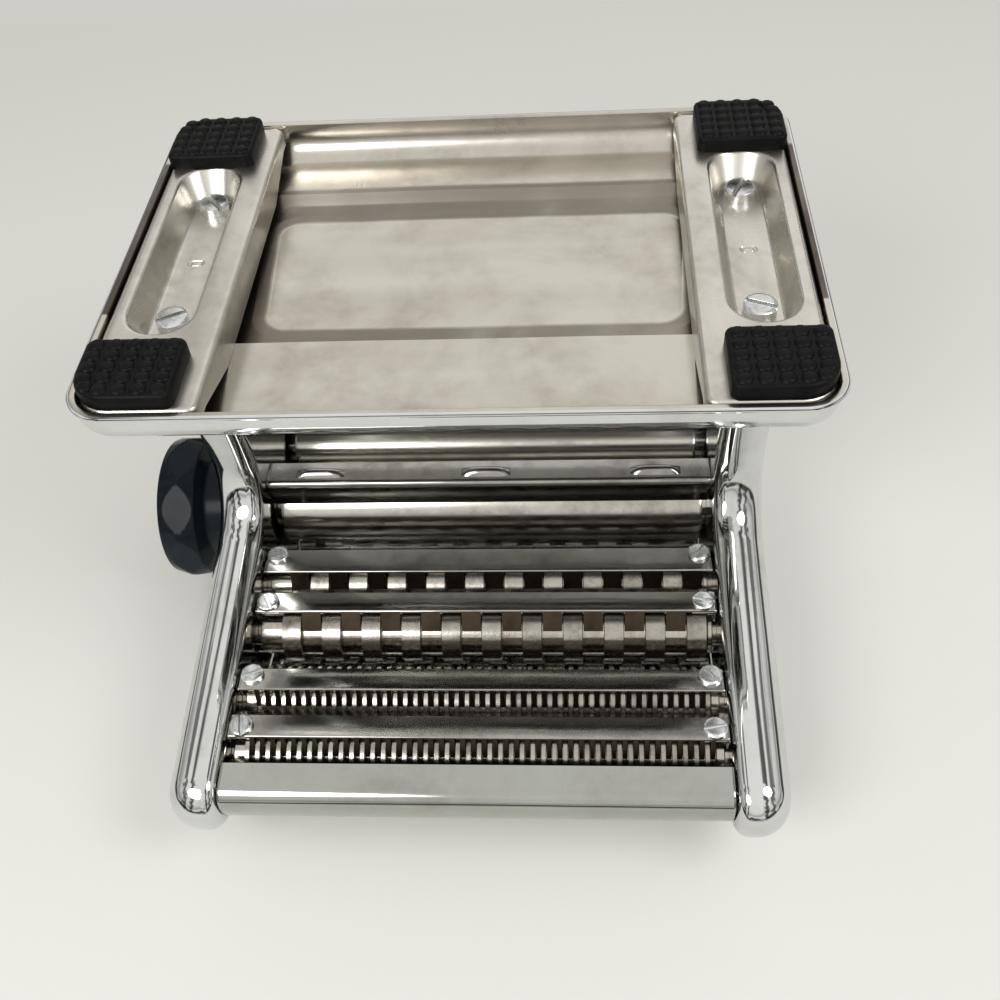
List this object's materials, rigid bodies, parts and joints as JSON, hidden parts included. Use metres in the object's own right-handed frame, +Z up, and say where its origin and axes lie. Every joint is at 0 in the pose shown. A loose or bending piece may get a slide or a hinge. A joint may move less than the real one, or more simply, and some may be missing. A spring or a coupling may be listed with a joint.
{
  "type": "pasta machine",
  "caption": "Hand-cranked pasta machine: chromed cheeks over a sheet base, smooth rollers with a regulator knob, wide and narrow cutter rollers with comb plates.",
  "frame": {"origin": "on the table, under the middle of the base pan", "axes": "+X towards the regulator knob, -Y towards the nose that overhangs the front, +Z up"},
  "size_m": [0.2099, 0.1848, 0.152],
  "materials": {
    "chromed_sheet": "polished chrome plate on pressed sheet steel",
    "rail_steel": "bright plated pressed steel",
    "scraper_steel": "satin stainless sheet",
    "roller_chrome": "smooth hard chrome, faint turning marks",
    "cutter_steel": "turned and plated steel",
    "gear_steel": "oiled steel",
    "shaft_steel": "turned bright steel",
    "screw_steel": "nickel plated",
    "sleeve_brass": "plain bearing bronze",
    "block_nylon": "natural nylon",
    "knob_black": "glossy black moulding",
    "foot_rubber": "matt black rubber"
  },
  "bodies": {
    "frame": {"base_pan": "chromed_sheet", "side_cover_knob_side": "chromed_sheet", "side_cover_crank_side": "chromed_sheet", "side_frame_knob_side": "chromed_sheet", "side_frame_crank_side": "chromed_sheet", "rear_cover": "chromed_sheet", "shoulder_cover": "chromed_sheet", "middle_cover": "chromed_sheet", "nose_cover": "chromed_sheet", "foot_rail_knob_side": "rail_steel", "foot_rail_crank_side": "rail_steel", "front_roller_scraper": "scraper_steel", "rear_roller_scraper": "scraper_steel", "wide_comb_rear": "scraper_steel", "wide_comb_front": "scraper_steel", "narrow_comb_rear": "scraper_steel", "narrow_comb_front": "scraper_steel", "comb_brackets": "scraper_steel", "index_pin": "shaft_steel", "tie_rods": "shaft_steel", "rail_screws": "screw_steel", "comb_screws": "screw_steel", "bearing_blocks": "block_nylon", "rubber_foot_front_knob_side": "foot_rubber", "rubber_foot_front_crank_side": "foot_rubber", "rubber_foot_rear_knob_side": "foot_rubber", "rubber_foot_rear_crank_side": "foot_rubber"},
    "rear_roller": {"rear_smooth_roller": "roller_chrome", "rear_roller_gear": "gear_steel"},
    "front_roller": {"front_smooth_roller": "roller_chrome", "front_roller_gear": "gear_steel"},
    "sleeves": {"bearing_sleeve_knob_side": "sleeve_brass", "bearing_sleeve_crank_side": "sleeve_brass"},
    "regulator": {"regulator_shaft": "shaft_steel", "regulator_nut": "shaft_steel", "knob_spring": "shaft_steel"},
    "knob": {"regulator_knob": "knob_black", "knob_cap": "knob_black"},
    "wide_driven": {"wide_cutter_driven": "cutter_steel", "wide_driven_gear": "gear_steel"},
    "wide_partner": {"wide_cutter_partner": "cutter_steel", "wide_partner_gear": "gear_steel"},
    "narrow_driven": {"narrow_cutter_driven": "cutter_steel", "narrow_driven_gear": "gear_steel"},
    "narrow_partner": {"narrow_cutter_partner": "cutter_steel", "narrow_partner_gear": "gear_steel"}
  },
  "joints": [
    {"name": "rear_roller_spin", "type": "hinge", "parent": "frame", "child": "rear_roller", "pos_m": [0, 0.033, 0.1195], "axis": [1, 0, 0], "continuous": true},
    {"name": "regulator_turn", "type": "hinge", "parent": "frame", "child": "regulator", "pos_m": [0, 0.0035, 0.1195], "axis": [1, 0, 0], "range_deg": [-90, 90]},
    {"name": "knob_pull", "type": "slide", "parent": "regulator", "child": "knob", "axis": [1, 0, 0], "range_m": [0, 0.004], "stiffness_N_per_m": 1500, "springref_m": -0.004, "deforming": ["knob_spring"]},
    {"name": "sleeve_turn", "type": "hinge", "parent": "regulator", "child": "sleeves", "pos_m": [0, 0.0035, 0.1187], "axis": [1, 0, 0], "range_deg": [-90, 90]},
    {"name": "front_roller_spin", "type": "hinge", "parent": "sleeves", "child": "front_roller", "pos_m": [0, 0.0035, 0.1187], "axis": [1, 0, 0], "continuous": true},
    {"name": "wide_driven_spin", "type": "hinge", "parent": "frame", "child": "wide_driven", "pos_m": [0, -0.03, 0.123], "axis": [1, 0, 0], "continuous": true},
    {"name": "wide_partner_spin", "type": "hinge", "parent": "frame", "child": "wide_partner", "pos_m": [0, -0.049, 0.123], "axis": [1, 0, 0], "continuous": true},
    {"name": "narrow_driven_spin", "type": "hinge", "parent": "frame", "child": "narrow_driven", "pos_m": [0, -0.0745, 0.123], "axis": [1, 0, 0], "continuous": true},
    {"name": "narrow_partner_spin", "type": "hinge", "parent": "frame", "child": "narrow_partner", "pos_m": [0, -0.0935, 0.123], "axis": [1, 0, 0], "continuous": true}
  ],
  "couplings": [
    {"joint": "front_roller_spin", "follows": "rear_roller_spin", "ratio": -1},
    {"joint": "sleeve_turn", "follows": "regulator_turn", "ratio": -1},
    {"joint": "wide_partner_spin", "follows": "wide_driven_spin", "ratio": -1},
    {"joint": "narrow_partner_spin", "follows": "narrow_driven_spin", "ratio": -1}
  ]
}
